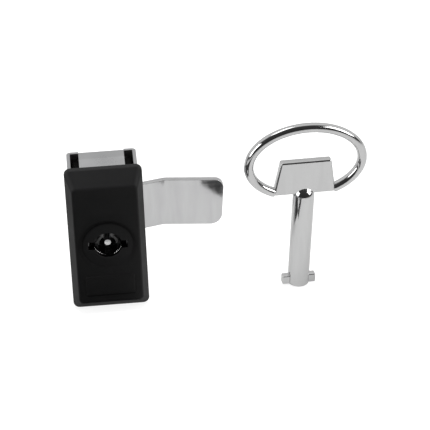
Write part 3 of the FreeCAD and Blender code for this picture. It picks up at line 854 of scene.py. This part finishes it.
# %% [markdown]
# ## The key
# The key is one bright casting: a hollow round barrel with two bits at its foot, a tapered
# web plate and an oval bow for the fingers. It is worked out standing upright about its own
# axis. A single turn and shift then place all its parts where the model has it, leaning a
# little beside the lock.

# %% Place of the key
key_turns = [("Z", 7.37), ("Y", 3.72), ("X", 1.45)]
key_foot = np.array([83.56, 4.89, -34.8])


def add_key_piece(name, points, faces):
    """Turns upright key points about X, Y and Z, shifts them beside the lock and adds them."""
    turn = Matrix.Identity(3)
    for axis, angle in key_turns:
        turn = turn @ Matrix.Rotation(math.radians(angle), 3, axis)
    add_piece(name, points @ np.array(turn).T + key_foot, faces, "body", "key_chrome",
              ["double_bit_key"])


# %% Bow
def bow_loops(around=168, about=28):
    """Section carried along an oval, smaller towards both open ends.

    The oval is (a cos t, c + b sin t), with its own b above and below the centre. Each section
    stands across the oval's direction there and is itself a little deeper than wide. Its
    radius grows from end_share of the bar's along a quarter ellipse as long as the taper.
    """
    bar, deeper, inset, taper, end_share = 2.07, 1.15, 2.09, 1.4, 0.45
    across, rise, fall = 27.35 - inset, 19.3 - inset, 18.7 - inset
    centre_z, start, end = 62.1, math.radians(-60), math.radians(240)
    t = np.linspace(start, end, around)[:, None]
    up = np.where(np.sin(t) > 0, rise, fall)
    centre = np.concatenate([across * np.cos(t), 0 * t, centre_z + up * np.sin(t)], 1)
    heading = np.concatenate([-across * np.sin(t), 0 * t, up * np.cos(t)], 1)
    heading /= np.linalg.norm(heading, axis=1)[:, None]
    outward = np.stack([heading[:, 2], np.zeros(around), -heading[:, 0]], 1)
    run = np.concatenate([[0], np.cumsum(np.linalg.norm(np.diff(centre, axis=0), axis=1))])
    near_end = np.minimum(run, run[-1] - run)
    share = np.clip(near_end / taper, 0.0, 1.0)
    radius = bar * (end_share + (1 - end_share) * np.sqrt(1 - (1 - share) ** 2))
    b = np.linspace(0, 2 * np.pi, about, endpoint=False)
    sideways = np.array([0.0, 1.0, 0.0])
    return (centre[:, None] + radius[:, None, None]
            * (np.cos(b)[None, :, None] * outward[:, None]
               + deeper * np.sin(b)[None, :, None] * sideways))


bow = bow_loops()
add_key_piece("key_bow", *capped_tube(bow, bow[0].mean(0), bow[-1].mean(0)))

# %% [markdown]
# ## Barrel of the key
# A turned form is a profile of radius and height carried round an axis. The profile starts
# at the bottom of the bore, comes down its wall, goes round the foot and up the barrel, and
# ends in the dome, so the bore and the outside are one closed skin.

# %% Barrel
def turned_piece(profile, around=72):
    """Points (r cos a, r sin a, z) for each profile point (r, z); both ends close in a pole."""
    a = np.linspace(0, 2 * np.pi, around, endpoint=False)
    radius, height = np.asarray(profile, float).T
    loops = np.stack([radius[:, None] * np.cos(a), radius[:, None] * np.sin(a),
                      np.repeat(height[:, None], around, 1)], -1)
    return capped_tube(loops, [0, 0, height[0]], [0, 0, height[-1]])


def arc_profile(radius, height, reach, rise, first, last, count):
    """Quarter of an ellipse: (radius + reach cos a, height + rise sin a)."""
    a = np.radians(np.linspace(first, last, count))
    return np.column_stack([radius + reach * np.cos(a), height + rise * np.sin(a)])


barrel_radius, barrel_top, dome_height, pin_hole_radius, edge = 4.75, 50.0, 3.7, 1.85, 0.35
ball = (barrel_radius ** 2 + dome_height ** 2) / (2 * dome_height)
foot = math.degrees(math.acos(barrel_radius / ball))
barrel_profile = np.concatenate([
    [[0.4, 9.3], [1.5, 9.0], [pin_hole_radius, 8.7], [pin_hole_radius, 0.5]],
    arc_profile(pin_hole_radius + edge, edge, edge, edge, 180, 270, 4),
    arc_profile(barrel_radius - edge, edge, edge, edge, -90, 0, 5),
    [[barrel_radius, 0.5], [barrel_radius, 22.0], [barrel_radius, 46.2], [4.73, 46.35]],
    arc_profile(0.0, barrel_top - ball, ball, ball, foot + 3, 87, 14),
])
add_key_piece("key_barrel", *turned_piece(barrel_profile))

# %% [markdown]
# ## Plate and bits
# The web plate is a trapezoid with a soft edge. The two bits are short bars that start in
# the barrel's wall, so its bore stays open for the lock's pin. All use the same plate of
# soft-edged loops as the pad on the cap.

# %% Plate and bits
plate_corners = [(-13.8, 47.0), (13.8, 47.0), (11.2, 63.2), (-11.2, 63.2)]
plate_radii, plate_thickness, plate_edge = [0.8, 0.8, 0.9, 0.9], 3.8, 0.8
bit_length, bit_height, bit_x, bit_z = 5.2, 4.0, 4.9, 2.0
bit_corner, bit_thickness, bit_edge = 0.5, 3.3, 0.4
flat, faces = plate_skin(plate_corners, plate_radii, plate_thickness, plate_edge)
add_key_piece("key_plate", upright(flat), faces)
for name, side in (("key_bit_left", -1), ("key_bit_right", 1)):
    flat, faces = plate_skin(box_corners(bit_length, bit_height, side * bit_x, bit_z),
                             [bit_corner] * 4, bit_thickness, bit_edge, inner=0.4)
    add_key_piece(name, upright(flat), faces)

# %% [markdown]
# ## The studio
# The photograph was taken on white, in a room that is dark behind the camera. Bright metal
# shows whatever stands round it, so most of the work here is about what the reflections
# find. A white floor carries the soft shadow. It glows by itself to the camera and to
# reflections, so it needs no extra light on the lock to look white.

# %% Floor
camera_rays, mirror_rays = ["Is Camera Ray"], ["Is Glossy Ray", "Is Transmission Ray"]


def light_path_sum(tree, names):
    """Adds up these answers of the Light Path node, to 1 at most."""
    path = new_node(tree, "LightPath")
    total = path.outputs[names[0]]
    for name in names[1:]:
        total = add_maths(tree, "ADD", total, path.outputs[name])
        total.node.use_clamp = True
    return total


def make_floor(z, seen, mirrored):
    """Large matt square, grey to the lamps, with a glow for the camera and for reflections."""
    side, tone = 6.0, 0.3
    mesh = bpy.data.meshes.new("studio_floor")
    mesh.from_pydata([(-side, -side, z), (side, -side, z), (side, side, z), (-side, side, z)],
                     [], [(0, 1, 2, 3)])
    floor = new_object("studio_floor", mesh)
    material, tree, shader = new_material(
        "studio_white", Base_Color=(tone, tone, tone, 1), Roughness=1.0, Specular_IOR_Level=0.0,
        Emission_Color=(1, 1, 1, 1))
    strength = 0.0
    for rays, glow in ((camera_rays, seen), (mirror_rays, mirrored)):
        strength = add_maths(tree, "MULTIPLY_ADD", light_path_sum(tree, rays), glow, strength)
    tree.links.new(strength, shader.inputs["Emission Strength"])
    mesh.materials.append(material)


floor_gap = 0.00002
floor_z = cad_box[0].z - floor_gap
make_floor(floor_z, seen=0.87, mirrored=0.29)
print("floor at", round(floor_z * 1000, 2), "mm")

# %% [markdown]
# ## Lamps
# Two softboxes stand to the left and right in front, and a small one above the back. They
# draw the white streaks on the bow and the dome of the key. A fourth lamp overhead only
# lifts the light on the coat, so reflections don't see it.

# %% Place the lamps
def add_lamp(name, place, aim, width, height, radiance):
    """Upright rectangular lamp; its power is radiance times pi times its area."""
    data = bpy.data.lights.new(name, "AREA")
    data.shape = "RECTANGLE"
    data.size, data.size_y = width, height
    data.energy = radiance * math.pi * width * height
    lamp = new_object(name, data)
    lamp.location = place
    lamp.rotation_euler = (Vector(aim) - Vector(place)).to_track_quat("-Z", "Y").to_euler()
    return lamp


middle = (0.05, 0.0, 0.0)
overhead = add_lamp("overhead_fill", (0.03, 0.02, 0.75), (0.03, 0.0, 0.0), 0.5, 0.3, 14.5)
overhead.visible_glossy = False
print("overhead power", round(overhead.data.energy, 2))
add_lamp("left_softbox", (-0.55, -0.18, 0.33), middle, 0.3, 0.45, 3.6)
add_lamp("rear_softbox", (-0.09, 0.2, 0.72), middle, 0.35, 0.2, 2.2)
add_lamp("right_softbox", (0.65, -0.14, 0.40), middle, 0.3, 0.45, 4.6)

# %% [markdown]
# ## Dark cards
# Photographers put black paper where a bright surface must not mirror white. Here one card
# gives the dark corner on the cam, and sheets on the floor keep the coat black, with gaps
# where the pin and the lower slope need light. Only reflections see them.

# %% Place the dark cards
def add_card(name, outlines, tone):
    """Flat dark card of one or more outlines; it throws no shadow and the camera misses it."""
    mesh = bpy.data.meshes.new(name)
    points = [tuple(v / 1000 for v in corner) for outline in outlines for corner in outline]
    ends = np.cumsum([len(outline) for outline in outlines]).tolist()
    mesh.from_pydata(points, [], [range(end - len(outline), end)
                                  for end, outline in zip(ends, outlines)])
    card = new_object(name, mesh)
    material, _, _ = new_material(name + "_paper", Base_Color=(tone, tone, tone, 1), Roughness=0.9)
    mesh.materials.append(material)
    card.visible_camera = card.visible_diffuse = card.visible_shadow = False


card_y, card_tone, sheet_lift, sheet_tone = -1.0, 0.12, 0.5, 0.02
card_outline = [(45.0, -9.9), (45.6, -11.4), (48.5, -13.7), (51.5, -16.5), (54.2, -18.3),
                (56.5, -17.8), (56.5, -8.2), (45.4, -8.2)]
add_card("dark_card", [[(x, card_y, z) for x, z in card_outline]], card_tone)

sheet_z = floor_z * 1000 + sheet_lift
# The last sheet, just in front of the lock's foot, is painted shadow: it stands in for the lock's
# shadow on the floor where the lower coat mirrors it.
sheet_parts = [(-150, 36, -300, -75), (-150, -16, -75, -46), (9, 30, -75, -46),
               (-150, 12, -46, -12), (-15, 14, -12, -7)]
sheets = [[(x0, y0, sheet_z), (x1, y0, sheet_z), (x1, y1, sheet_z), (x0, y1, sheet_z)]
          for x0, x1, y0, y1 in sheet_parts]
add_card("dark_sheet", sheets, sheet_tone)

# %% [markdown]
# ## Sky
# The camera sees white. Matt surfaces get an even grey from all round. Reflections find a
# sky that is dark towards the camera's side and light towards the back, which gives the
# black bands on the bow and the pale upper sides of the metal.

# %% Make the sky
def make_sky():
    """White to the camera, even grey to matt surfaces, and to reflections dark in front."""
    even_grey = 0.2
    world = bpy.data.worlds.new("studio_sky")
    bpy.context.scene.world = world
    world.use_nodes = True
    tree = world.node_tree
    place = new_node(tree, "TexCoord")
    split = new_node(tree, "SeparateXYZ")
    tree.links.new(place.outputs["Generated"], split.inputs["Vector"])
    front = new_node(tree, "ValToRGB")
    set_ramp(front, [(0.0, 0.03), (0.5, 0.05), (0.56, 0.25), (0.62, 0.7), (0.84, 0.7),
                     (1.0, 0.52)])
    shifted = new_node(tree, "MapRange", From_Min=-1.0)
    tree.links.new(split.outputs["Y"], shifted.inputs["Value"])
    tree.links.new(shifted.outputs["Result"], front.inputs["Fac"])
    unseen = add_mix(tree, light_path_sum(tree, mirror_rays), even_grey, front.outputs["Color"])
    final = add_mix(tree, light_path_sum(tree, camera_rays), unseen, 1.0)
    tree.links.new(final, tree.nodes["Background"].inputs["Color"])


make_sky()

# %% [markdown]
# ## The camera
# The picture is square, and the camera stands over a metre away with a long lens, so
# parallel edges stay nearly parallel. Its direction was found by fitting the corners of the
# cap: it looks down by 32 degrees, comes a little from the right, and is rolled by two
# degrees.

# %% Place the camera
def fitted_camera():
    """Turns about Z, tips down and rolls; rows of the product are right, up and back.

    The spindle appears at its pixel, and scale is in pixels per millimetre there.
    """
    def about_z(angle):
        c, s = math.cos(angle), math.sin(angle)
        return np.array([[c, -s, 0], [s, c, 0], [0, 0, 1]])

    down, side, roll = (math.radians(v) for v in (32.0, 3.75, 2.27))
    tip = np.array([[1, 0, 0], [0, math.sin(down), math.cos(down)],
                    [0, -math.cos(down), math.sin(down)]])
    rows = about_z(roll) @ tip @ about_z(side)
    distance, scale, image, sensor = 1050.0, 2.3, 430, 36.0
    spindle_column, spindle_row = 107.0, 234.9
    aim = np.array([(image / 2 - spindle_column) / scale, (spindle_row - image / 2) / scale,
                    distance])
    data = bpy.data.cameras.new("studio_camera")
    data.sensor_width = sensor
    data.lens = scale * distance / image * sensor
    data.clip_start, data.clip_end = 0.05, 50.0
    camera = new_object("studio_camera", data)
    placing = Matrix(rows.T.tolist()).to_4x4()
    placing.translation = Vector((rows.T @ aim / 1000).tolist())
    camera.matrix_world = placing
    return camera


bpy.context.scene.camera = fitted_camera()
bpy.context.scene.view_settings.view_transform = "Standard"
print("camera at", [round(v, 3) for v in bpy.context.scene.camera.location])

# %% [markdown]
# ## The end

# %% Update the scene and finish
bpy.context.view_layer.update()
